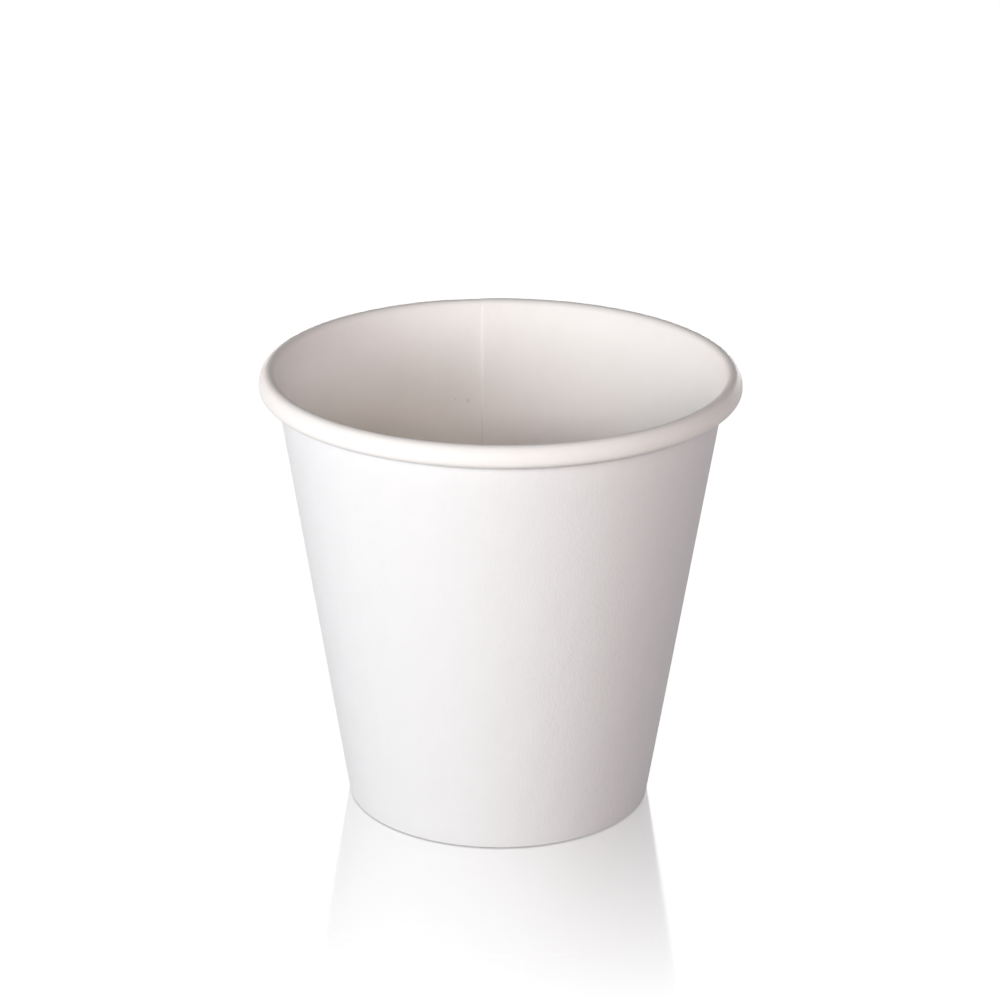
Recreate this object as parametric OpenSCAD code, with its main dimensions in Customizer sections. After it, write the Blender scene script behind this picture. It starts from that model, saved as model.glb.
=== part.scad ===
// Single-wall paper coffee cup: one rolled sheet for the wall and one drawn disc for the bottom.
// Millimetres, +Z up, origin on the table at the middle of the foot.

/* [Cup] */
// Diameter over the rolled rim
rim_d = 90; // [70:1:100]
// Height from the table to the top of the rim
cup_h = 85; // [60:1:120]
// Lean of the wall, in degrees from upright
wall_lean = 9.1; // [4:0.1:11]

/* [Board] */
// Thickness of the wall's sheet
sheet_t = 0.35; // [0.25:0.01:0.45]
// Thickness of the bottom's disc
disc_t = 0.3; // [0.2:0.01:0.45]

/* [Rolled rim] */
// Radius of the roll's top bend, over its outside
roll_top_r = 1.4; // [1.2:0.05:2]
// Turn of the top bend, in degrees
roll_top_turn = 132; // [115:1:145]
// Radius of the roll's flatter outer side
roll_side_r = 3.4; // [2.4:0.1:5]
// Turn of the outer side, in degrees
roll_side_turn = 43; // [34:1:50]
// Free space between the roll's end and the doubled wall at the seam
roll_gap = 0.07; // [0.05:0.01:0.2]
// Depth of the sheet's hidden end below the start of the top bend
roll_end_down = 0.2; // [0.1:0.05:0.5]

/* [Side seam] */
// Width of the sealed lap, measured at the rim
lap_w = 7; // [4:0.5:12]
// Direction of the sheet's inner end, in degrees from +X
seam_at = 95.4; // [0:0.1:360]
// Length over which the outer end climbs over the inner one, at the rim
climb_w = 3; // [1.5:0.5:6]

/* [Foot] */
// Height of the hem's edge over the table
hem_h = 6; // [3:0.5:9]
// Inside radius of the fold that the cup stands on
fold_r = 0.05; // [0.03:0.01:0.1]
// Space between the hem's edge and the bend of the disc
hem_clear = 0.4; // [0.2:0.1:1]
// Inside radius of the bend from the disc to its skirt
disc_bend_r = 0.6; // [0.3:0.1:1.2]
// Film of seal on each side of the skirt
seal_t = 0.02; // [0.01:0.01:0.05]
// Space between the skirt's edge and the doubled fold under the seam
skirt_clear = 0.15; // [0.1:0.05:0.5]

/* [Hidden] */
$fn = 128;

// Largest turn between two points of a bend, in degrees
bend_step = 10;
// Stretches of the climbing part of the seam
climb_steps = 4;
// The seam's doubled part and its climb lie this far under the faces that they run into.
inset = 0.012;
// How far a stretch of the seam reaches into the next, in degrees
reach = 0.4;

// The roll closes against the wall, with room for the seam's second layer.
roll_low_from = roll_top_turn + roll_side_turn;
roll_span = roll_top_r * (1 - cos(roll_top_turn)) + roll_side_r * (cos(roll_top_turn) - cos(roll_low_from));
roll_low_r = (roll_span - 2 * sheet_t - roll_gap) / (1 - cos(roll_low_from));

// Reach and rise of the roll from where it leaves the wall
roll_shape = [for (step = walk([[[0, 0], 90]], roll_moves(0))) place(step[0], 0)];
roll_reach = max([for (p = roll_shape) p[0]]);
roll_rise = max([for (p = roll_shape) p[1]]);

// Length of the wall up its slope, its radius at the top, and the radius at which its inner face would meet the table
roll_start = (cup_h - roll_rise) / cos(wall_lean);
wall_top_r = rim_d / 2 - roll_reach;
wall_foot_r = wall_top_r - roll_start * sin(wall_lean);

// The seam's widths as angles, the pocket that holds the skirt, and the disc's height over the table
lap_a = lap_w / wall_top_r * 180 / PI;
climb_a = climb_w / wall_top_r * 180 / PI;
pocket_w = disc_t + 2 * seal_t;
disc_up = hem_h + hem_clear + disc_bend_r;

// From the wall's own frame, [out of the wall, up its slope], to [radius, height]
function place(p, foot_r) =
    [foot_r + p[0] * cos(wall_lean) + p[1] * sin(wall_lean), p[1] * cos(wall_lean) - p[0] * sin(wall_lean)];

// The distance up the slope at which a point so far out of the wall has this height
function slope_at(height, out) = (height + out * sin(wall_lean)) / cos(wall_lean);

// One move of the path as [radius, turn, length]: a bend turns left if positive, a straight has no turn.
function bend(radius, turn) = [radius, turn, 0];
function straight(length) = [0, 0, length];

// The points that a move adds, each as [point, heading]
function moved(from, heading, move) =
    move[1] == 0
    ? [[from + move[2] * [cos(heading), sin(heading)], heading]]
    : let (
        count = ceil(abs(move[1]) / bend_step),
        radius = sign(move[1]) * move[0],
        centre = from + radius * [-sin(heading), cos(heading)]
    )
    [for (i = [1:count])
        let (a = heading + move[1] * i / count)
        [centre + radius * [sin(a), -cos(a)], a]];

function walk(path, moves, i = 0) =
    i == len(moves)
    ? path
    : let (last = path[len(path) - 1])
    walk(concat(path, moved(last[0], last[1], moves[i])), moves, i + 1);

// The roll's moves for a layer that rides this far inside the roll's skin
function roll_moves(ride) = [
    bend(roll_top_r - ride, -roll_top_turn),
    bend(roll_side_r - ride, -roll_side_turn),
    bend(roll_low_r - ride, roll_low_from - 360)
];

// The inner face of the sheet's section, from the hem's edge down, round the fold, up the wall and round the roll.
// ride is how far the layer lies outside the single sheet, and lift how far its fold is raised off the table.
function sheet_path(ride, lift, trim) =
    let (
        fold_up = lift + sheet_t + fold_r,
        hem_out = -pocket_w - ride,
        hem_top = slope_at(hem_h, hem_out) - trim,
        hem_low = slope_at(fold_up, hem_out + fold_r),
        wall_low = slope_at(fold_up, ride - fold_r),
        foot = [
            straight(hem_top - hem_low),
            bend(fold_r, 90 + wall_lean),
            straight((pocket_w + 2 * ride - 2 * fold_r) / cos(wall_lean)),
            bend(fold_r, 90 - wall_lean),
            straight(roll_start - wall_low)
        ],
        rolled = walk([[[hem_out, hem_top], -90]], concat(foot, roll_moves(ride))),
        end = rolled[len(rolled) - 1]
    )
    concat(rolled, [[[end[0][0], roll_start - roll_end_down - trim], end[1]]]);

// A face of the sheet, this far from the inner face of its path, as [radius, height] points
function face(path, depth) =
    [for (step = path) place(step[0] + depth * [sin(step[1]), -cos(step[1])], wall_foot_r)];

function reversed(list) = [for (i = [len(list) - 1:-1:0]) list[i]];

// The section between two depths of the sheet, each on its own path
function section(inner, inner_depth, outer, outer_depth) =
    concat(face(inner, inner_depth), reversed(face(outer, outer_depth)));

// Share of the climb that is left at a place along it, level at both ends
function climbed(share) = let (s = min(max(share, 0), 1)) 1 - s * s * (3 - 2 * s);

// The sheet beside the lap: it comes down from over the inner end to the single wall.
module climb() {
    places = concat([0], [for (i = [0:climb_steps]) reach + climb_a * i / climb_steps], [climb_a + 2 * reach]);
    left = [for (a = places) climbed((a - reach) / climb_a)];
    paths = [for (share = left) sheet_path(share * sheet_t, share * inset, inset)];
    n = len(paths[0]);
    last = len(places) - 1;
    points = [for (i = [0:last], p = concat(face(paths[i], inset), face(paths[i], sheet_t - inset)))
        let (a = seam_at + places[i])
        [p[0] * cos(a), p[0] * sin(a), p[1]]];
    inner = [for (i = [0:last - 1], j = [0:n - 2])
        let (k = 2 * n * i + j)
        [k + 2 * n, k + 2 * n + 1, k + 1, k]];
    outer = [for (quad = inner) n * [1, 1, 1, 1] + reversed(quad)];
    edges = [for (i = [0:last - 1], j = [0, n - 1])
        let (k = 2 * n * i + j, quad = [k, k + 2 * n, k + 3 * n, k + n])
        j == 0 ? reversed(quad) : quad];
    ends = [for (i = [0, last], j = [0:n - 2])
        let (k = 2 * n * i + j, quad = [k, k + n, k + n + 1, k + 1])
        i == 0 ? reversed(quad) : quad];
    polyhedron(points, concat(inner, outer, edges, ends));
}

// The wall: a single sheet all the way round, doubled where its outer end laps over its inner one.
module sidewall() {
    single = sheet_path(0, 0, 0);
    color("whitesmoke") {
        rotate_extrude(angle = 360 - climb_a - reach, start = seam_at + climb_a + reach)
            polygon(section(single, 0, single, sheet_t));
        rotate_extrude(angle = lap_a + reach, start = seam_at - lap_a)
            polygon(section(sheet_path(0, sheet_t, inset), inset, sheet_path(sheet_t, inset, inset), sheet_t));
        climb();
    }
}

// The bottom: a flat disc with a skirt that hangs in the pocket between the wall and the hem.
module bottom() {
    under = -seal_t - disc_t;
    skirt_low = slope_at(2 * sheet_t + skirt_clear, under);
    skirt_top = slope_at(disc_up - disc_bend_r, under - disc_bend_r);
    bent = walk([[[under, skirt_low], 90]], [straight(skirt_top - skirt_low), bend(disc_bend_r, 90 + wall_lean)]);
    disc_r = place(bent[len(bent) - 1][0], wall_foot_r)[0];
    path = walk(bent, [straight(disc_r)]);
    color("white")
        rotate_extrude()
            polygon(concat(face(path, 0), reversed(face(path, disc_t))));
}

sidewall();
bottom();
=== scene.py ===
# %% [markdown]
# # A paper cup
# A single-wall paper cup is folded out of two pieces of board: one fan-shaped sheet for the
# wall and one disc for the bottom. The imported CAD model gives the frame. This script makes
# the two boards again with all that the camera sees of them: two free sheet ends in the side
# seam, pressed edges, a slightly uneven roll, paper grain and a coating on the drink side.

# %% The frame
import math

import bpy
import numpy as np
from mathutils import Matrix, Vector


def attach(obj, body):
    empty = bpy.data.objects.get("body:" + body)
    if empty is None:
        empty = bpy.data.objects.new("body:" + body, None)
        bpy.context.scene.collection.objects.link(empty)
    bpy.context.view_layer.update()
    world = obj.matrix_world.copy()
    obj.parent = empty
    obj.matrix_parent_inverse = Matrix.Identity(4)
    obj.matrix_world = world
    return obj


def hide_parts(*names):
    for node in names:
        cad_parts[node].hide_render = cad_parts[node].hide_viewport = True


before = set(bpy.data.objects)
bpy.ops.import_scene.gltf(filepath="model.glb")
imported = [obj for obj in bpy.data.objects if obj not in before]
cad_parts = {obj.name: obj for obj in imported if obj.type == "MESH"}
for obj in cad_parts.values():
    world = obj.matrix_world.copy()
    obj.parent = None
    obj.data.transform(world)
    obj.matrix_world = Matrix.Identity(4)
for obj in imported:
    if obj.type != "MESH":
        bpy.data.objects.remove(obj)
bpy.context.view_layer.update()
print("CAD nodes:", sorted(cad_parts))

# %% [markdown]
# ## The camera
# The camera stands 63 cm in front of the cup and looks down at it by 20.5 degrees, with a
# long lens. It could be set by eye. Here its place, tilt and lens follow from the rim's
# ellipse, the wall's outlines and the foot, and it comes first, so that every later look
# through it is the real one. Angles are in radians.

# %% Camera
CAMERA_AT = Vector((0.0, -0.6294, 0.2939))
LOOK_DOWN = 0.35765
LOOK_ASIDE = 0.00002
CAMERA_ROLL = 0.0059
LENS_MM = 128.34

ahead = Vector((
    math.sin(LOOK_ASIDE) * math.cos(LOOK_DOWN),
    math.cos(LOOK_ASIDE) * math.cos(LOOK_DOWN),
    -math.sin(LOOK_DOWN),
))
level = ahead.cross(Vector((0, 0, 1))).normalized()
above = level.cross(ahead)
right = math.cos(CAMERA_ROLL) * level + math.sin(CAMERA_ROLL) * above
up = math.cos(CAMERA_ROLL) * above - math.sin(CAMERA_ROLL) * level

scene = bpy.context.scene
camera = bpy.data.objects.new("studio_camera", bpy.data.cameras.new("studio_camera"))
scene.collection.objects.link(camera)
facing = Matrix((right, up, -ahead)).transposed().to_4x4()
camera.matrix_world = Matrix.Translation(CAMERA_AT) @ facing
camera.data.sensor_width = 36
camera.data.lens = LENS_MM
camera.data.clip_start = 0.01
camera.data.clip_end = 50
scene.camera = camera
scene.view_settings.view_transform = "Standard"
print("camera looks along", [round(x, 4) for x in ahead])

# %% [markdown]
# ## The cup's sizes
# These are the sizes of the CAD source, in millimetres and radians. They could be measured
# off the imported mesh, but a sheet that is walked along its own section fits it better. The
# roll is a chain of three bends: a tight one at the top, a flatter outer side, and a tight
# one that tucks the sheet's edge in below. The wall's radius at the top follows from how far
# that chain reaches. One size differs: the climb beside the lap is 3 mm wide in the CAD and
# 9 mm here, because real board bends over an edge slowly, and the photograph shows no band.

# %% Sizes
RIM_D = 90
CUP_H = 85
LEAN = math.radians(9.1)
BOARD = 0.35
DISC_BOARD = 0.3
TOP_R = 1.4
TOP_BEND = math.radians(132)
SIDE_R = 3.4
SIDE_BEND = math.radians(43)
ROLL_GAP = 0.07
ROLL_END_DOWN = 0.2
LAP_W = 7
SEAM_AT = math.radians(95.4)
CLIMB_W = 9
HEM_H = 6
FOLD_R = 0.05
SEAL = 0.02
SEAM_SEAL = 0.01

BENT = TOP_BEND + SIDE_BEND
roll_span = TOP_R * (1 - math.cos(TOP_BEND)) + SIDE_R * (math.cos(TOP_BEND) - math.cos(BENT))
LOW_R = (roll_span - 2 * BOARD - ROLL_GAP) / (1 - math.cos(BENT))


def along_roll(turn):
    """Where the roll's skin is after this turn of its first two bends, out of the wall and up it"""
    first = min(turn, TOP_BEND)
    out = TOP_R * (1 - math.cos(first)) + SIDE_R * (math.cos(first) - math.cos(turn))
    rise = TOP_R * math.sin(first) + SIDE_R * (math.sin(turn) - math.sin(first))
    return out, rise


def to_cup(out, rise):
    """From the wall's own frame, which leans, to radius and height"""
    radius = out * math.cos(LEAN) + rise * math.sin(LEAN)
    height = rise * math.cos(LEAN) - out * math.sin(LEAN)
    return radius, height


def slope_at(height, out):
    """How far up the slope a point so far out of the wall has this height"""
    return (height + out * math.sin(LEAN)) / math.cos(LEAN)


roll_reach = to_cup(*along_roll(math.pi - LEAN))[0]
roll_rise = to_cup(*along_roll(math.pi / 2 - LEAN))[1]
ROLL_START = (CUP_H - roll_rise) / math.cos(LEAN)
WALL_TOP_R = RIM_D / 2 - roll_reach
WALL_FOOT_R = WALL_TOP_R - ROLL_START * math.sin(LEAN)
POCKET_W = DISC_BOARD + 2 * SEAL
LAP = LAP_W / WALL_TOP_R
CLIMB = CLIMB_W / WALL_TOP_R
print("wall radius at the roll and at the table:", round(WALL_TOP_R, 3), round(WALL_FOOT_R, 3))
print("seam lap in degrees:", round(math.degrees(LAP), 2))

# %% [markdown]
# ## Formulas as nodes
# The geometry and the materials both need sums of fields. Their Math nodes could be placed
# and linked one by one, but forty of them are hard to check. `Term` wraps a socket, so that
# `a + b` adds a Math node, and a formula reads as it would on paper.

# %% Terms of a formula
def feed(tree, socket, value):
    """Sets a socket to a value, or links it to a term or another socket."""
    value = getattr(value, "socket", value)
    if isinstance(value, bpy.types.NodeSocket):
        tree.links.new(value, socket)
    else:
        socket.default_value = value


def node(tree, kind, inputs=None, **settings):
    """A node with its settings, and its inputs by name or number"""
    made = tree.nodes.new(kind)
    for name, value in settings.items():
        setattr(made, name, value)
    for name, value in (inputs or {}).items():
        feed(tree, made.inputs[name], value)
    return made


class Term:
    """An output socket that can stand in a formula"""

    def __init__(self, tree, socket):
        self.tree = tree
        self.socket = socket

    def worked(self, operation, *others):
        return maths(self.tree, operation, self, *others)

    def __add__(self, other):
        return self.worked("ADD", other)

    def __sub__(self, other):
        return self.worked("SUBTRACT", other)

    def __mul__(self, other):
        return self.worked("MULTIPLY", other)

    def __truediv__(self, other):
        return self.worked("DIVIDE", other)

    def __rsub__(self, other):
        return maths(self.tree, "SUBTRACT", other, self)

    __radd__ = __add__
    __rmul__ = __mul__

    def sin(self):
        return self.worked("SINE")

    def cos(self):
        return self.worked("COSINE")

    def at_least(self, other):
        return self.worked("MAXIMUM", other)

    def at_most(self, other):
        return self.worked("MINIMUM", other)

    def eased(self):
        """From 0 to 1 with a level start and end"""
        share = self.at_least(0.0).at_most(1.0)
        return share * share * (3.0 - 2.0 * share)


def maths(tree, operation, *values):
    """A Math node of sockets and numbers, as a term"""
    made = tree.nodes.new("ShaderNodeMath")
    made.operation = operation
    for socket, value in zip(made.inputs, values):
        feed(tree, socket, value)
    return Term(tree, made.outputs[0])


# %% [markdown]
# A group has named inputs and outputs, as a tool has handles. `group` makes the tree and
# hands back its inputs as terms, `give` links what it works out, and `use` places it.

# %% Groups
FLOAT, ANGLE = "NodeSocketFloat", "NodeSocketFloat ANGLE"
VECTOR, MATERIAL, MESH = "NodeSocketVector", "NodeSocketMaterial", "NodeSocketGeometry"


def group(kind, name, takes, gives):
    """A tree with inputs (name: kind, value) and outputs (name: kind), and its inputs as terms"""
    tree = bpy.data.node_groups.new(name, kind)
    for label, (socket_type, value) in takes.items():
        kind_of, _, subtype = socket_type.partition(" ")
        made = tree.interface.new_socket(name=label, in_out="INPUT", socket_type=kind_of)
        if subtype:
            made.subtype = subtype
        if value is not None:
            made.default_value = value
    for label, socket_type in gives.items():
        tree.interface.new_socket(name=label, in_out="OUTPUT", socket_type=socket_type)
    entry = tree.nodes.new("NodeGroupInput")
    return tree, {s.name: Term(tree, s) for s in entry.outputs if s.name}


def give(tree, **results):
    """Links results to the group's outputs; a space in an output's name is written as _"""
    way_out = tree.nodes.new("NodeGroupOutput")
    for name, value in results.items():
        feed(tree, way_out.inputs[name.replace("_", " ")], value)


def use(tree, inner, **inputs):
    """Places a group in a tree and returns its outputs as terms by name"""
    kind = "ShaderNodeGroup" if tree.bl_idname == "ShaderNodeTree" else "GeometryNodeGroup"
    made = tree.nodes.new(kind)
    made.node_tree = inner
    for name, value in inputs.items():
        feed(tree, made.inputs[name.replace("_", " ")], value)
    return {s.name.replace(" ", "_"): Term(tree, s) for s in made.outputs}


# %% [markdown]
# ## Paper, seen close
# Cup board is pressed wood fibre. Held close it shows three things: clouds a few
# millimetres wide where the fibres lie thicker, a fine grain of fibre ends, and now and then
# a small dark fleck. A scan of real board would show them too, but it would repeat. Noise
# doesn't, and it has the right scale at any distance. All the board's faces share the three,
# so they are one shader group, and each material takes its own amounts of them.

# %% Pressed fibre
FLECKED_CELLS = 0.3  # share of the cells that hold a fleck
FLECKS_ACROSS = 45.0  # fleck radii to one cell


def fibre_group():
    """Clouds, grain and flecks of pressed fibre, at a number of them to a metre"""
    tree, take = group(
        "ShaderNodeTree",
        "pressed_fibre",
        {
            "Place": (VECTOR, None),
            "Grains": (FLOAT, 2200.0),
            "Clouds": (FLOAT, 260.0),
            "Flecks": (FLOAT, 90.0),
        },
        {"Cloud": FLOAT, "Grain": FLOAT, "Fleck": FLOAT},
    )
    cloud = node(
        tree,
        "ShaderNodeTexNoise",
        {"Vector": take["Place"], "Scale": take["Clouds"], "Detail": 3.0},
    )
    grain = node(
        tree,
        "ShaderNodeTexNoise",
        {"Vector": take["Place"], "Scale": take["Grains"], "Detail": 4.0, "Roughness": 0.65},
    )
    cell = node(tree, "ShaderNodeTexVoronoi", {"Vector": take["Place"], "Scale": take["Flecks"]})
    tone = node(tree, "ShaderNodeSeparateColor", {0: cell.outputs["Color"]})
    near = 1.0 - Term(tree, cell.outputs["Distance"]) * FLECKS_ACROSS
    chosen = Term(tree, tone.outputs[0]).worked("LESS_THAN", FLECKED_CELLS)
    give(tree, Cloud=cloud.outputs[0], Grain=grain.outputs[0], Fleck=near.eased() * chosen)
    return tree


FIBRE = fibre_group()
print("shader group:", FIBRE.name, "with", len(FIBRE.nodes), "nodes")

# %% [markdown]
# ## The board's three finishes
# The outer face is bare board, matt and open. The drink face has a thin coating that seals
# it and gives it a satin gloss, and two dark fibre specks show under it, high up in the back.
# The cut edges show raw fibre. Three plain colours would look like plastic, so each finish is
# a Principled shader whose colour, roughness and bump come from the fibre group. What doesn't
# change over a face stands on the shader's own sockets.

# %% Finishes
FLECK_TONE = (0.25, 0.21, 0.18, 1.0)
FLECK_DARK, SPECK_DARK = 0.1, 0.23  # how much of that tone they take
SPECKS = [((-6.34, 38.28, 65.29), 0.42), ((-8.9, 37.84, 65.7), 0.18)]  # place and radius, mm
FIBRE_STRETCH = (1.0, 1.0, 0.55)  # the fibres lie rather upright
GLOSS_SPREAD = 0.08  # how far the roughness varies with the grain


def blend(tree, share, first, second):
    """A colour between two, by a share from 0 to 1"""
    mixed = node(tree, "ShaderNodeMix", {"Factor": share, 6: first, 7: second}, data_type="RGBA")
    return mixed.outputs[2]


def board_finish(name, colour, shade, roughness, bump_mm, gloss, specks=()):
    """Board with fibre clouds between two tones, faint flecks, single specks, and grain as bump"""
    material = bpy.data.materials.new(name)
    material.use_nodes = True
    tree = material.node_tree
    shader = tree.nodes["Principled BSDF"]
    place = node(tree, "ShaderNodeTexCoord").outputs["Object"]
    tall = node(tree, "ShaderNodeMapping", {"Vector": place, "Scale": FIBRE_STRETCH})
    fibre = use(tree, FIBRE, Place=tall.outputs[0])
    dark = fibre["Fleck"] * FLECK_DARK
    for spot, radius in specks:
        middle = [x / 1000 for x in spot]
        gap = node(tree, "ShaderNodeVectorMath", {0: place, 1: middle}, operation="DISTANCE")
        radii = Term(tree, gap.outputs["Value"]) * (1000 / radius)
        dark = dark + SPECK_DARK * (1.5 - radii).eased()
    tint = blend(tree, (fibre["Cloud"] - 0.3) * 2.0, (*colour, 1.0), (*shade, 1.0))
    height = fibre["Grain"] + fibre["Cloud"] * 1.5
    bump = node(
        tree,
        "ShaderNodeBump",
        {"Strength": 1.0, "Distance": bump_mm / 1000, "Height": height},
    )
    feed(tree, shader.inputs["Base Color"], blend(tree, dark.at_most(1.0), tint, FLECK_TONE))
    feed(tree, shader.inputs["Roughness"], roughness + GLOSS_SPREAD * (fibre["Grain"] - 0.5))
    feed(tree, shader.inputs["Normal"], bump.outputs[0])
    shader.inputs["Specular IOR Level"].default_value = gloss
    return material


PRINT_FACE = board_finish(
    "board_print_face",
    colour=(0.93, 0.915, 0.91),
    shade=(0.915, 0.9, 0.893),
    roughness=0.7,
    bump_mm=0.07,
    gloss=0.12,
)
DRINK_FACE = board_finish(
    "board_drink_face",
    colour=(0.945, 0.914, 0.883),
    shade=(0.932, 0.9, 0.866),
    roughness=0.5,
    bump_mm=0.035,
    gloss=0.22,
    specks=SPECKS,
)
CUT_EDGE = board_finish(
    "board_cut_edge",
    colour=(0.9, 0.875, 0.85),
    shade=(0.86, 0.83, 0.8),
    roughness=0.85,
    bump_mm=0.03,
    gloss=0.1,
)
print("finishes:", [m.name for m in (PRINT_FACE, DRINK_FACE, CUT_EDGE)])

# %% [markdown]
# ## One stretch of a folded sheet
# A folded sheet's section is a path of straights and arcs. A profile curve could be swept
# round the axis, but the section changes at the seam. So in Geometry Nodes every point of a
# grid walks the path by itself. It has a number of steps to go, each stretch takes its share
# of them, and the point moves along the stretch by that share. An arc's chord is
# length * sin(half) / half, which also holds for a straight, where the turn is 0.

# %% Share and stretch groups
def share_group():
    """The share of a stretch that a point goes, and the steps that it has left after it"""
    tree, take = group(
        "GeometryNodeTree",
        "share_of_stretch",
        {"To go": (FLOAT, 0.0), "Steps": (FLOAT, 1.0)},
        {"Share": FLOAT, "Left": FLOAT},
    )
    share = take["To go"] / take["Steps"]
    give(tree, Share=share.at_least(0.0).at_most(1.0), Left=take["To go"] - take["Steps"])
    return tree


SHARE = share_group()
TINY_TURN = 1e-4  # keeps a straight's chord from being 0 / 0


def stretch_group():
    """Moves a point along one stretch: a straight, or an arc where it has a turn"""
    tree, take = group(
        "GeometryNodeTree",
        "stretch_of_board",
        {
            "Out": (FLOAT, 0.0),
            "Rise": (FLOAT, 0.0),
            "Heading": (ANGLE, 0.0),
            "To go": (FLOAT, 0.0),
            "Steps": (FLOAT, 1.0),
            "Length": (FLOAT, 1.0),
            "Turn": (ANGLE, 0.0),
        },
        {"Out": FLOAT, "Rise": FLOAT, "Heading": FLOAT, "Left": FLOAT},
    )
    gone = use(tree, SHARE, To_go=take["To go"], Steps=take["Steps"])
    half = take["Turn"] * gone["Share"] * 0.5
    size = half.worked("ABSOLUTE").at_least(TINY_TURN)
    chord = take["Length"] * gone["Share"] * size.sin() / size
    way = take["Heading"] + half
    give(
        tree,
        Out=take["Out"] + chord * way.cos(),
        Rise=take["Rise"] + chord * way.sin(),
        Heading=way + half,
        Left=gone["Left"],
    )
    return tree


STRETCH = stretch_group()


def walk(tree, start, to_go, stretches):
    """Chains stretches, each (steps, length, turn), from a start (out, rise, heading)"""
    at = dict(zip(("Out", "Rise", "Heading", "Left"), (*start, to_go)))
    for steps, length, turn in stretches:
        at = use(
            tree,
            STRETCH,
            Out=at["Out"],
            Rise=at["Rise"],
            Heading=at["Heading"],
            To_go=at["Left"],
            Steps=float(steps),
            Length=length(at) if callable(length) else length,
            Turn=turn,
        )
    return at


print("stretch group:", len(STRETCH.nodes), "nodes")

# %% [markdown]
# ## From a surface to a board
# A board has a drink face, a print face and a cut edge all round. A Solidify modifier would
# make it of even thickness, but the real one is pressed thin at its ends. So the grid makes
# the drink face, and an extrusion of it makes the edge and the print face, whose points then
# move to where the rule wants them, kept until then in the attribute "through". The extrusion
# goes backwards, so its faces are turned over. Two attributes mark which face is which.

# %% Board group
MERGE_MM = 0.002  # points nearer than this are one


def board_group():
    """Closes a drink face with the print face in its attribute "through", and marks the faces"""
    tree, take = group("GeometryNodeTree", "face_to_board", {"Face": (MESH, None)}, {"Board": MESH})

    def merged(mesh):
        inputs = {"Geometry": mesh, "Distance": MERGE_MM}
        return node(tree, "GeometryNodeMergeByDistance", inputs).outputs[0]

    whole = merged(take["Face"])
    pushed = node(
        tree,
        "GeometryNodeExtrudeMesh",
        {"Mesh": whole, "Offset Scale": 0.0, "Individual": False},
    )
    marked = pushed.outputs["Mesh"]
    for name, side in (("print_face", "Top"), ("cut_edge", "Side")):
        marked = node(
            tree,
            "GeometryNodeStoreNamedAttribute",
            {"Geometry": marked, "Name": name, "Value": pushed.outputs[side]},
            data_type="BOOLEAN",
            domain="FACE",
        ).outputs[0]
    through = node(
        tree,
        "GeometryNodeInputNamedAttribute",
        {"Name": "through"},
        data_type="FLOAT_VECTOR",
    )
    moved = node(
        tree,
        "GeometryNodeSetPosition",
        {"Geometry": marked, "Selection": pushed.outputs["Top"], "Position": through.outputs[0]},
    )
    turned = node(tree, "GeometryNodeFlipFaces", {"Mesh": moved.outputs[0]})
    both = node(tree, "GeometryNodeJoinGeometry")
    for part in (whole, turned.outputs[0]):
        feed(tree, both.inputs[0], part)
    closed = merged(both.outputs[0])
    clean = node(tree, "GeometryNodeRemoveAttribute", {"Geometry": closed, "Name": "through"})
    give(tree, Board=clean.outputs[0])
    return tree


BOARD_GROUP = board_group()
print("board group:", len(BOARD_GROUP.nodes), "nodes")

# %% [markdown]
# ## Steps and places
# Both boards start as a flat grid. They could be built point by point in Python, but a field
# works on all points at once, and its sizes stay open as inputs. `grid_steps` hands out each
# point's steps to go, and `on_cone` brings a place from the wall's leaning frame to the cup.

# %% Grid and cone
def grid_steps(tree, around, along):
    """A grid with one face to a step, and each point's steps to go around and along"""
    grid = node(
        tree,
        "GeometryNodeMeshGrid",
        {
            "Size X": float(around),
            "Size Y": float(along),
            "Vertices X": around + 1,
            "Vertices Y": along + 1,
        },
    )
    place = node(tree, "GeometryNodeInputPosition")
    parts = node(tree, "ShaderNodeSeparateXYZ", {0: place.outputs[0]})
    to_go = [Term(tree, parts.outputs[i]) + steps / 2 for i, steps in enumerate((around, along))]
    return grid.outputs["Mesh"], *to_go


def on_cone(tree, size, out, rise, azimuth, uneven=None):
    """From the wall's frame and an azimuth to a place in the cup"""
    lean = size["Lean"]
    radius = size["Foot radius"] + out * lean.cos() + rise * lean.sin()
    height = rise * lean.cos() - out * lean.sin()
    if uneven is not None:
        radius = radius + uneven(height)
    return node(
        tree,
        "ShaderNodeCombineXYZ",
        {"X": radius * azimuth.cos(), "Y": radius * azimuth.sin(), "Z": height},
    ).outputs[0]


# %% [markdown]
# ## A finished board
# Each point of the grid knows its place on the drink face and its place on the print face.
# The grid goes to the first, the board group closes it with the second, and the three faces
# get their finishes. The cut edge stays flat, so that it catches the light as a sharp line.

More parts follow.
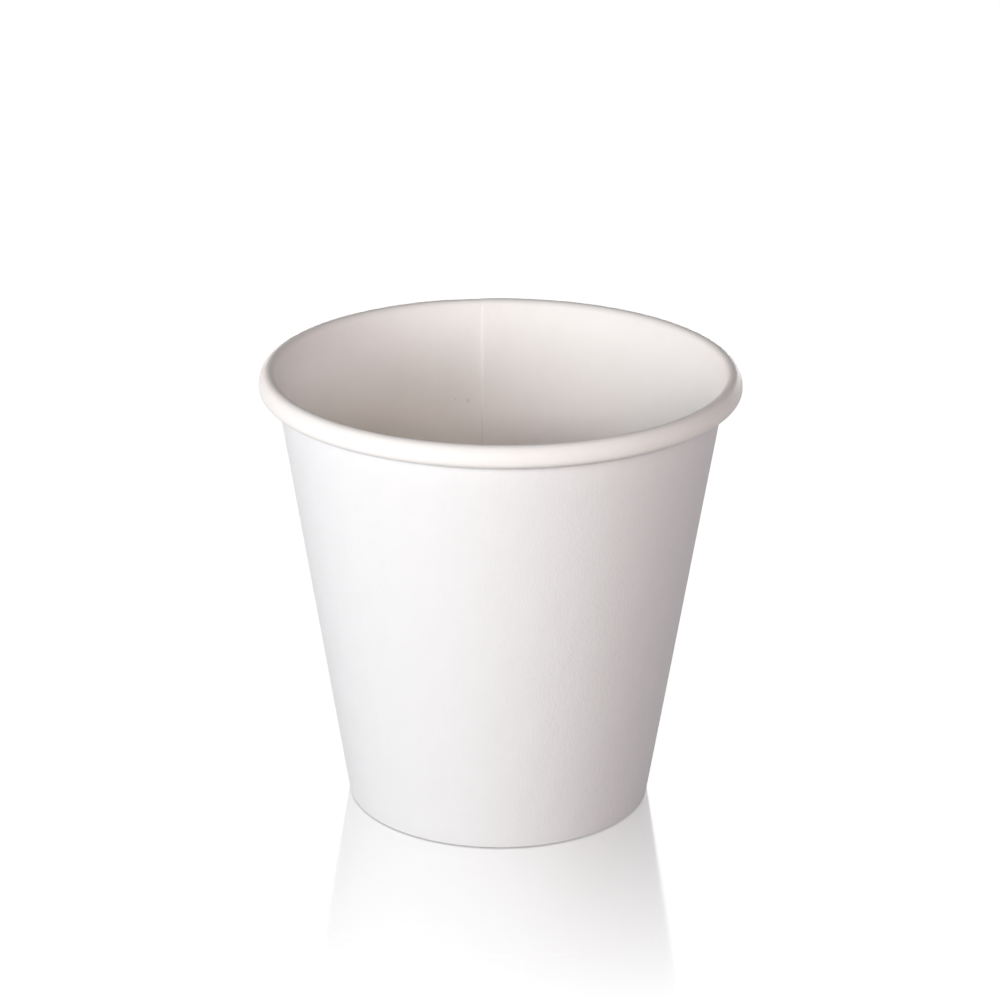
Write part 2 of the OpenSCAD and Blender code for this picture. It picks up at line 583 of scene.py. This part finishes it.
# %% Finished board
def finished_board(tree, size, grid, drink, printed):
    """A board in metres from a grid and the places of its two faces, with its finishes"""
    kept = node(
        tree,
        "GeometryNodeStoreNamedAttribute",
        {"Geometry": grid, "Name": "through", "Value": printed},
        data_type="FLOAT_VECTOR",
        domain="POINT",
    )
    placed = node(tree, "GeometryNodeSetPosition", {"Geometry": kept.outputs[0], "Position": drink})
    solid = use(tree, BOARD_GROUP, Face=placed.outputs[0])
    metres = node(
        tree,
        "GeometryNodeTransform",
        {"Geometry": solid["Board"], "Scale": (0.001, 0.001, 0.001)},
    )
    board = node(tree, "GeometryNodeRealizeInstances", {"Geometry": metres.outputs[0]}).outputs[0]

    def marked(name):
        mark = node(tree, "GeometryNodeInputNamedAttribute", {"Name": name}, data_type="BOOLEAN")
        return mark.outputs[0]

    rounded = node(tree, "FunctionNodeBooleanMath", {0: marked("cut_edge")}, operation="NOT")
    board = node(
        tree,
        "GeometryNodeSetShadeSmooth",
        {0: board, "Shade Smooth": rounded.outputs[0]},
    ).outputs[0]
    board = node(
        tree,
        "GeometryNodeSetMaterial",
        {"Geometry": board, "Material": size["Drink finish"]},
    ).outputs[0]
    for name, finish in (("print_face", "Print finish"), ("cut_edge", "Edge finish")):
        board = node(
            tree,
            "GeometryNodeSetMaterial",
            {"Geometry": board, "Selection": marked(name), "Material": size[finish]},
        ).outputs[0]
    give(tree, Geometry=board)
    return tree


# %% [markdown]
# ## The rule of the wall
# The wall could be a revolved profile, but then its seam would be a drawn line. So here one
# sheet goes round the cone once and a lap more, as the real one does. It starts as the inner
# layer of the side seam and ends as the outer one, so just before it is back at its start it
# climbs over itself, by one thickness. The rolling tool presses the doubled board thin in
# the roll, so the rim runs over the seam without a notch. Each point of the grid has steps
# to go around and steps to go along the section: hem, fold, pocket, fold, wall, and the
# three bends of the roll. More steps go where the sheet bends, at the climb and at the
# pressed ends.

# %% Wall steps
PRESSED_W = math.radians(0.85)
FREE_WAY = math.tau - LAP - 2 * CLIMB
AROUND = [
    # steps, and the angle that they take
    (5, PRESSED_W),
    (8, LAP - PRESSED_W),
    (8, CLIMB),
    (288, FREE_WAY),
    (12, CLIMB),
    (8, LAP - PRESSED_W),
    (5, PRESSED_W),
]
ALONG = {"hem": 3, "fold": 6, "pocket": 1, "wall": 26, "top": 24, "side": 6, "low": 24, "end": 2}
columns = sum(steps for steps, _ in AROUND)
rows = sum(ALONG.values()) + ALONG["fold"]
ROLL_STEPS = sum(ALONG[stretch] for stretch in ("top", "side", "low", "end"))
EASE_STEPS = 3.0  # rows over which the roll's pressure sets in
SWELL_WAVES, SWELL_UP, SWELL_FULL = 1.4, 0.02, 40.0  # around, up to a mm, and height in mm
print("wall grid:", columns, "by", rows, "steps")


# %% Wall tree
def wall_tree():
    """The rolled, lapped and folded sheet of the wall"""
    tree, size = group(
        "GeometryNodeTree",
        "paper_cup_wall",
        {
            "Foot radius": (FLOAT, 28.0),
            "Roll start": (FLOAT, 85.0),
            "Lean": (ANGLE, 0.16),
            "Board": (FLOAT, 0.35),
            "Hem height": (FLOAT, 6.0),
            "Fold radius": (FLOAT, 0.05),
            "Pocket": (FLOAT, 0.34),
            "Top radius": (FLOAT, 1.4),
            "Top bend": (ANGLE, 2.3),
            "Side radius": (FLOAT, 3.4),
            "Side bend": (ANGLE, 0.75),
            "Low radius": (FLOAT, 1.3),
            "Roll end down": (FLOAT, 0.2),
            "Seam at": (ANGLE, 1.6),
            "Lap": (ANGLE, 0.16),
            "Climb": (ANGLE, 0.07),
            "Seal": (FLOAT, 0.01),
            "Pressed": (FLOAT, 0.12),
            "Pressed in the roll": (FLOAT, 0.5),
            "Uneven": (FLOAT, 0.05),
            "Drink finish": (MATERIAL, None),
            "Print finish": (MATERIAL, None),
            "Edge finish": (MATERIAL, None),
        },
        {"Geometry": MESH},
    )
    lean, board = size["Lean"], size["Board"]
    grid, around, along = grid_steps(tree, columns, rows)

    turned = 0.0
    for steps, angle in AROUND:
        gone = use(tree, SHARE, To_go=around, Steps=float(steps))
        turned, around = gone["Share"] * angle + turned, gone["Left"]
    azimuth = size["Seam at"] - turned
    climbing = (turned - math.tau + size["Climb"]) / size["Climb"]
    ride = (board + size["Seal"]) * climbing.eased()
    lift = board * (1.0 - ((turned - size["Lap"]) / size["Climb"]).eased())

    def up_slope(height, out):
        return (height + out * lean.sin()) / lean.cos()

    fold, quarter = size["Fold radius"], math.pi / 2
    fold_up = lift + board + fold
    hem_out = -1.0 * (size["Pocket"] + ride)
    hem_top = up_slope(size["Hem height"], hem_out)
    low_bend = math.tau - size["Top bend"] - size["Side bend"]

    def rolled_bend(name, radius, bend):
        return ALONG[name], (radius - ride) * bend, -1.0 * bend

    at = walk(
        tree,
        (hem_out, hem_top, -quarter),
        along,
        [
            (ALONG["hem"], hem_top - up_slope(fold_up, hem_out + fold), 0.0),
            (ALONG["fold"], fold * (lean + quarter), lean + quarter),
            (ALONG["pocket"], (size["Pocket"] + 2.0 * ride - 2.0 * fold) / lean.cos(), 0.0),
            (ALONG["fold"], fold * (quarter - lean), quarter - lean),
            (ALONG["wall"], size["Roll start"] - up_slope(fold_up, ride - fold), 0.0),
            rolled_bend("top", size["Top radius"], size["Top bend"]),
            rolled_bend("side", size["Side radius"], size["Side bend"]),
            rolled_bend("low", size["Low radius"], low_bend),
            (ALONG["end"], lambda at: size["Roll start"] - size["Roll end down"] - at["Rise"], 0.0),
        ],
    )

    def swell(height):
        """The cup is never quite round: a slow wave that fades towards the folded foot."""
        spot = node(
            tree,
            "ShaderNodeCombineXYZ",
            {
                "X": azimuth.cos() * SWELL_WAVES,
                "Y": azimuth.sin() * SWELL_WAVES,
                "Z": height * SWELL_UP,
            },
        )
        wave = node(
            tree,
            "ShaderNodeTexNoise",
            {"Vector": spot.outputs[0], "Scale": 1.0, "Detail": 1.0},
        )
        either_way = (Term(tree, wave.outputs[0]) - 0.5) * 2.0
        return either_way * size["Uneven"] * (height / SWELL_FULL).eased()

    first = size["Pressed"] * (1.0 - (turned / PRESSED_W).eased())
    last = size["Pressed"] * ((turned - (math.tau + LAP - PRESSED_W)) / PRESSED_W).eased()
    rolled = ((along - (rows - ROLL_STEPS - EASE_STEPS)) / EASE_STEPS).eased()
    thinned = rolled * size["Pressed in the roll"]
    aside, back = at["Heading"].sin(), -1.0 * at["Heading"].cos()
    faces = [
        on_cone(tree, size, at["Out"] + depth * aside, at["Rise"] + depth * back, azimuth, swell)
        for depth in (first - ride * thinned, board - last - lift * thinned)
    ]
    return finished_board(tree, size, grid, *faces)


WALL_TREE = wall_tree()
print("wall tree:", len(WALL_TREE.nodes), "nodes")

# %% [markdown]
# ## Running a tree
# A tree runs as a modifier on an empty object. It could stay there, but a plain mesh is kept
# instead. So its sizes go in by the sockets' identifiers, and the result is kept alone.
# A closed mesh's volume shows at once whether its faces point outwards.

# %% Running a tree
def made_by(tree, name, sizes):
    """The plain mesh piece that a tree makes, without the host's empty first material slot"""
    host = bpy.data.objects.new(name + "_host", bpy.data.meshes.new(name + "_host"))
    scene.collection.objects.link(host)
    rule = host.modifiers.new("rule", "NODES")
    rule.node_group = tree
    known = {s.name: s.identifier for s in tree.interface.items_tree if s.in_out == "INPUT"}
    for label, value in sizes.items():
        rule[known[label]] = value
    shown = host.evaluated_get(bpy.context.evaluated_depsgraph_get())
    mesh = bpy.data.meshes.new_from_object(shown)
    mesh.name = name
    mesh.materials.pop(index=0)
    bpy.data.objects.remove(host)
    piece = bpy.data.objects.new(name, mesh)
    scene.collection.objects.link(piece)
    return piece


def volume_and_triangles(piece):
    """A closed mesh's volume in mm3, negative if its faces point inwards, and its triangles"""
    mesh = piece.data
    mesh.calc_loop_triangles()
    place = np.zeros(len(mesh.vertices) * 3)
    mesh.vertices.foreach_get("co", place)
    corner = np.zeros(len(mesh.loop_triangles) * 3, int)
    mesh.loop_triangles.foreach_get("vertices", corner)
    a, b, c = np.moveaxis(place.reshape(-1, 3)[corner.reshape(-1, 3)], 1, 0)
    volume = 1e9 * np.einsum("ij,ij->i", a, np.cross(b, c)).sum() / 6
    return round(float(volume), 1), len(mesh.loop_triangles)


# %% Wall piece
FINISHES = {"Drink finish": DRINK_FACE, "Print finish": PRINT_FACE, "Edge finish": CUT_EDGE}
cup_wall = made_by(
    WALL_TREE,
    "cup_wall",
    {
        "Foot radius": WALL_FOOT_R,
        "Roll start": ROLL_START,
        "Lean": LEAN,
        "Board": BOARD,
        "Hem height": HEM_H,
        "Fold radius": FOLD_R,
        "Pocket": POCKET_W,
        "Top radius": TOP_R,
        "Top bend": TOP_BEND,
        "Side radius": SIDE_R,
        "Side bend": SIDE_BEND,
        "Low radius": LOW_R,
        "Roll end down": ROLL_END_DOWN,
        "Seam at": SEAM_AT,
        "Lap": LAP,
        "Climb": CLIMB,
        "Seal": SEAM_SEAL,
        "Pressed": 0.1,
        "Pressed in the roll": 0.7,
        "Uneven": 0.05,
        **FINISHES,
    },
)
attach(cup_wall, "root")
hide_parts("sidewall")
print("cup_wall: volume in mm3 and triangles", volume_and_triangles(cup_wall))

# %% [markdown]
# ## The bottom
# The bottom is a disc drawn into a shallow cap. Its skirt hangs in the pocket between the
# wall and the hem, and its flat part closes the cup. A lathe would make it too, but it is
# board like the wall, so it takes the same way: a path up the skirt, round one bend, and
# straight to the middle, where all the grid's columns meet.

# %% Bottom tree
BOTTOM_AROUND = 240
BOTTOM_ALONG = {"skirt": 3, "bend": 8, "disc": 14}


def bottom_tree():
    """The drawn disc and its skirt"""
    tree, size = group(
        "GeometryNodeTree",
        "paper_cup_bottom",
        {
            "Foot radius": (FLOAT, 28.0),
            "Lean": (ANGLE, 0.16),
            "Board": (FLOAT, 0.3),
            "Under": (FLOAT, -0.32),
            "Skirt low": (FLOAT, 0.9),
            "Skirt top": (FLOAT, 6.4),
            "Bend radius": (FLOAT, 0.6),
            "Disc radius": (FLOAT, 28.0),
            "Drink finish": (MATERIAL, None),
            "Print finish": (MATERIAL, None),
            "Edge finish": (MATERIAL, None),
        },
        {"Geometry": MESH},
    )
    grid, around, along = grid_steps(tree, BOTTOM_AROUND, sum(BOTTOM_ALONG.values()))
    azimuth = around * (math.tau / BOTTOM_AROUND)
    turn = size["Lean"] + math.pi / 2
    at = walk(
        tree,
        (size["Under"], size["Skirt low"], math.pi / 2),
        along,
        [
            (BOTTOM_ALONG["skirt"], size["Skirt top"] - size["Skirt low"], 0.0),
            (BOTTOM_ALONG["bend"], size["Bend radius"] * turn, turn),
            (BOTTOM_ALONG["disc"], size["Disc radius"], 0.0),
        ],
    )
    aside, back = at["Heading"].sin(), -1.0 * at["Heading"].cos()
    faces = [
        on_cone(tree, size, at["Out"] + depth * aside, at["Rise"] + depth * back, azimuth)
        for depth in (size["Board"], 0.0)
    ]
    return finished_board(tree, size, grid, *faces)


BOTTOM_TREE = bottom_tree()
print("bottom tree:", len(BOTTOM_TREE.nodes), "nodes")

# %% Bottom piece
HEM_CLEAR = 0.4
DISC_BEND_R = 0.6
SKIRT_CLEAR = 0.15

under = -SEAL - DISC_BOARD
skirt_top = slope_at(HEM_H + HEM_CLEAR, under - DISC_BEND_R)
bend_end = (under - DISC_BEND_R * (1 + math.sin(LEAN)), skirt_top + DISC_BEND_R * math.cos(LEAN))
cup_bottom = made_by(
    BOTTOM_TREE,
    "cup_bottom",
    {
        "Foot radius": WALL_FOOT_R,
        "Lean": LEAN,
        "Board": DISC_BOARD,
        "Under": under,
        "Skirt low": slope_at(2 * BOARD + SKIRT_CLEAR, under),
        "Skirt top": skirt_top,
        "Bend radius": DISC_BEND_R,
        "Disc radius": WALL_FOOT_R + to_cup(*bend_end)[0],
        **FINISHES,
    },
)
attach(cup_bottom, "root")
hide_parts("bottom")
print("cup_bottom: volume in mm3 and triangles", volume_and_triangles(cup_bottom))

# %% [markdown]
# ## The floor
# The cup stands on a white glossy floor that mirrors its foot and fades out. A real white
# sheet would need far more light than the cup can take. So the camera sees the floor as
# plain white with a painted shade, a touch dimmer close to the cup, and with a little of the
# real light on it, so that the cup's soft shadow stays. Near the foot a part of that white is
# a mirror, which fades out with the distance. For all other rays the floor is a matt grey
# that throws a little light back up on the cup.

# %% Floor
FLOOR_HALF_W, FLOOR_DROP = 12, 0.00003
MIRROR, MIRROR_BLUR = 0.65, 0.09  # share of the white that mirrors, and its roughness
MIRROR_FROM, MIRROR_TO = 0.029, 0.1  # metres from the cup's axis
# painted shade: the floor's white is made darker around the cup's foot by its own colour, not by a
# lamp
PAINTED_SHADE, PAINTED_SHADE_TO = 0.035, 0.16  # how much dimmer the white is at the foot, and how far out
MATT_TONE, LIT_TONE = 0.35, 0.12  # for the other rays, and for the shadow in the white
WHITE = (1.0, 1.0, 1.0, 1.0)


def seen_by_eye(tree):
    """1 for the rays that reach the eye: from the camera, off a gloss or through a clear piece"""
    ray = node(tree, "ShaderNodeLightPath")
    mask = Term(tree, ray.outputs["Is Camera Ray"])
    for kind in ("Is Glossy Ray", "Is Transmission Ray"):
        mask = mask.at_least(Term(tree, ray.outputs[kind]))
    return mask


def mix(tree, share, first, second):
    """A shader between two, by a share from 0 to 1"""
    return node(tree, "ShaderNodeMixShader", {0: share, 1: first, 2: second}).outputs[0]


def floor_finish():
    """White to the eye, with painted shade and a mirror near the cup; matt grey to others; clear
    below
    """
    material = bpy.data.materials.new("studio_floor")
    material.use_nodes = True
    tree = material.node_tree
    tree.nodes.clear()

    def matt(tone):
        return node(tree, "ShaderNodeBsdfDiffuse", {"Color": (tone, tone, tone, 1.0)}).outputs[0]

    place = node(tree, "ShaderNodeTexCoord").outputs["Object"]
    away = node(tree, "ShaderNodeVectorMath", {0: place}, operation="LENGTH")
    out = Term(tree, away.outputs["Value"]) - MIRROR_FROM
    mirror = MIRROR * (1.0 - out / (MIRROR_TO - MIRROR_FROM)).at_least(0.0).at_most(1.0)
    # painted shade around the foot: the emitted white is dimmed close to the cup
    painted_shade = PAINTED_SHADE * (1.0 - out / (PAINTED_SHADE_TO - MIRROR_FROM)).eased()
    white = node(tree, "ShaderNodeEmission", {"Color": WHITE, "Strength": 1.0 - painted_shade})
    shown = node(tree, "ShaderNodeAddShader", {0: matt(LIT_TONE), 1: white.outputs[0]})
    gloss = node(tree, "ShaderNodeBsdfAnisotropic", {"Color": WHITE, "Roughness": MIRROR_BLUR})
    seen = mix(tree, mirror, shown.outputs[0], gloss.outputs[0])
    face = mix(tree, seen_by_eye(tree), matt(MATT_TONE), seen)
    below = node(tree, "ShaderNodeNewGeometry").outputs["Backfacing"]
    clear = node(tree, "ShaderNodeBsdfTransparent")
    whole = mix(tree, below, face, clear.outputs[0])
    node(tree, "ShaderNodeOutputMaterial", {"Surface": whole})
    return material


sides = ((-1, -1), (1, -1), (1, 1), (-1, 1))
corners = [(x * FLOOR_HALF_W, y * FLOOR_HALF_W, -FLOOR_DROP) for x, y in sides]
floor_mesh = bpy.data.meshes.new("studio_floor")
floor_mesh.from_pydata(corners, [], [(0, 1, 2, 3)])
floor_mesh.materials.append(floor_finish())
floor = bpy.data.objects.new("studio_floor", floor_mesh)
scene.collection.objects.link(floor)
print("floor:", 2 * FLOOR_HALF_W, "m wide")

# %% [markdown]
# ## Light
# Seven soft boxes light the cup, and all of them stand low: a broad key on the left, two
# over the camera that reach down into the cup, one on the right, and two behind on the left.
# The last is a strip at the height of the cup's middle, straight behind it, which lights the
# back and stays under the rim. An even sky would be simpler, but the photograph has nothing
# overhead: the roll's crest, which faces up, is darker than its side, and the right half of
# the wall falls into a mauve shade. Beyond the boxes there is only a trace of light.

# %% Lamps
AIM = Vector((0, 0, 0.045))
LAMP_AWAY = 0.7
LAMPS = [
    # name, azimuth, elevation, width, height, watts, colour
    ("key_box", -45, 15, 0.36, 0.22, 3.1, (0.92, 0.98, 1.0)),
    ("left_camera_box", -20, 24, 0.36, 0.15, 0.75, (0.78, 0.76, 1.0)),
    ("right_camera_box", 5, 24, 0.36, 0.15, 1.55, (1.0, 0.89, 0.76)),
    ("right_box", 74, 14, 0.6, 0.15, 1.16, (0.98, 0.91, 1.0)),
    ("back_box", -118, 9, 0.5, 0.24, 0.88, (1.0, 0.86, 0.82)),
    ("far_box", -150, 14, 0.36, 0.15, 0.5, (1.0, 0.7, 0.6)),
    ("rear_box", 172, 0, 0.6, 0.07, 2.4, (1.0, 1.0, 1.0)),
]


def lamp(name, azimuth, elevation, width, height, watts, colour):
    """A soft box that faces the cup; azimuth 0 is the camera's side and 90 is +X."""
    a, e = math.radians(azimuth), math.radians(elevation)
    way = Vector((math.sin(a) * math.cos(e), -math.cos(a) * math.cos(e), math.sin(e)))
    data = bpy.data.lights.new(name, "AREA")
    data.shape = "RECTANGLE"
    data.size = width
    data.size_y = height
    data.energy = watts
    data.color = colour
    made = bpy.data.objects.new(name, data)
    scene.collection.objects.link(made)
    made.location = AIM + way * LAMP_AWAY
    made.rotation_mode = "QUATERNION"
    made.rotation_quaternion = way.to_track_quat("Z", "Y")
    made.visible_camera = False
    return made


lamps = [lamp(*row) for row in LAMPS]
print("lamps:", [made.name for made in lamps])

# %% World
WORLD_LIGHT, SKY_TONE = 0.01, (1.0, 0.965, 0.965, 1.0)
world = bpy.data.worlds.new("studio")
scene.world = world
world.use_nodes = True
air = world.node_tree
air.nodes.clear()
sky = node(air, "ShaderNodeBackground", {"Color": SKY_TONE, "Strength": WORLD_LIGHT})
white = node(air, "ShaderNodeBackground", {"Color": WHITE, "Strength": 1.0})
mixed = mix(air, seen_by_eye(air), sky.outputs[0], white.outputs[0])
node(air, "ShaderNodeOutputWorld", {"Surface": mixed})
print("world light:", WORLD_LIGHT)
